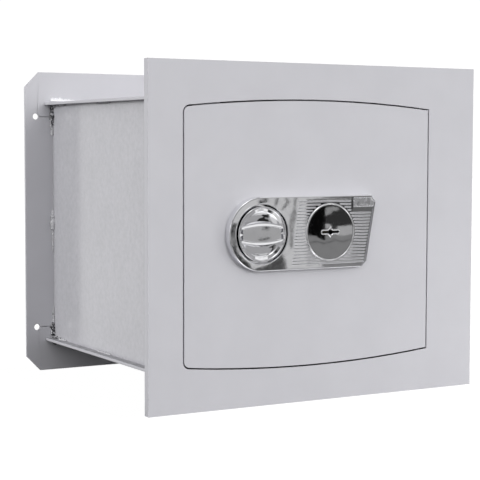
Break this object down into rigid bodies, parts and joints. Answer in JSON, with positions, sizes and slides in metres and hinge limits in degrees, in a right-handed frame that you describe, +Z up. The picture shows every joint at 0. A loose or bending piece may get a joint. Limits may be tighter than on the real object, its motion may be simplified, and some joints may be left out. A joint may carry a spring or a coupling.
{
  "type": "wall safe",
  "caption": "Steel wall safe with a flush bowed door, chromed lock plate, dished turn knob and keyhole, a welded body behind a front frame and a rear anchor flange.",
  "frame": {"origin": "centre of the four anchor holes, on the rear plate's back face", "axes": "+Y into the wall, square to the rear plate; +X to the right seen from the front, along the longest side; +Z up"},
  "size_m": [0.388, 0.326, 0.34],
  "materials": {
    "frame_paint": "satin light grey powder coat",
    "body_sheet": "semi-gloss light grey on sheet steel",
    "hinge_steel": "turned",
    "weld_metal": "uneven steel bead, painted over",
    "door_paint": "satin light grey powder coat",
    "escutcheon_chrome": "polished",
    "badge_metal": "satin, blank",
    "ring_chrome": "polished",
    "disc_mirror": "dark mirror",
    "knob_chrome": "polished",
    "plain_steel": "zinc plated sheet",
    "hardened_steel": "hardened and blackened",
    "brass_parts": "machined",
    "zinc_fixings": "zinc plated",
    "cover_paint": "satin grey",
    "bolt_steel": "nickel plated, turned",
    "lock_sheet": "zinc plated",
    "spring_steel": "strip"
  },
  "bodies": {
    "safe_body": {"front_frame": "frame_paint", "rear_plate": "frame_paint", "top_panel": "frame_paint", "bottom_panel": "frame_paint", "left_side_panel": "body_sheet", "right_side_panel": "body_sheet", "bolt_pocket": "body_sheet", "door_stops": "body_sheet", "hinge_pins": "hinge_steel", "weld_beads": "weld_metal"},
    "door": {"door_plate": "door_paint", "escutcheon": "escutcheon_chrome", "escutcheon_screws": "zinc_fixings", "badge_plate": "badge_metal", "key_disc_ring": "ring_chrome", "key_disc": "disc_mirror", "key_guide": "plain_steel", "hard_plate": "hardened_steel", "knob_bush": "brass_parts", "bolt_guide": "plain_steel", "bolt_guide_screws": "zinc_fixings", "guide_studs": "zinc_fixings", "guide_clips": "zinc_fixings", "hinge_side_dogs": "plain_steel", "dog_screws": "zinc_fixings", "cover_pillars": "zinc_fixings", "mechanism_cover": "cover_paint", "cover_screws": "zinc_fixings", "lock_case": "lock_sheet", "lock_cover": "lock_sheet", "lock_screws": "zinc_fixings", "lever_springs": "spring_steel"},
    "knob_drive": {"knob": "knob_chrome", "spindle": "bolt_steel", "pinion": "bolt_steel", "spindle_screw": "zinc_fixings"},
    "boltwork": {"locking_bolts": "bolt_steel", "bolt_carrier": "plain_steel"},
    "lock_bolt_body": {"lock_bolt": "brass_parts"},
    "lever_pack": {"levers": "brass_parts"}
  },
  "joints": [
    {"name": "door_swing", "type": "hinge", "parent": "safe_body", "child": "door", "pos_m": [0.1245, -0.312, 0], "axis": [0, 0, 1], "range_deg": [0, 105]},
    {"name": "knob_turn", "type": "hinge", "parent": "door", "child": "knob_drive", "pos_m": [-0.074, -0.308, 0.0015], "axis": [0, 1, 0], "range_deg": [0, 90]},
    {"name": "bolt_slide", "type": "slide", "parent": "door", "child": "boltwork", "axis": [-1, 0, 0], "range_m": [0, 0.01885]},
    {"name": "lock_bolt_lift", "type": "slide", "parent": "door", "child": "lock_bolt_body", "axis": [0, 0, 1], "range_m": [0, 0.008]},
    {"name": "lever_shift", "type": "slide", "parent": "door", "child": "lever_pack", "axis": [-1, 0, 0], "range_m": [0, 0.002], "stiffness_N_per_m": 400, "deforming": ["lever_springs"]}
  ],
  "couplings": [
    {"joint": "knob_turn", "follows": "bolt_slide", "rad_per_m": 83.333}
  ]
}
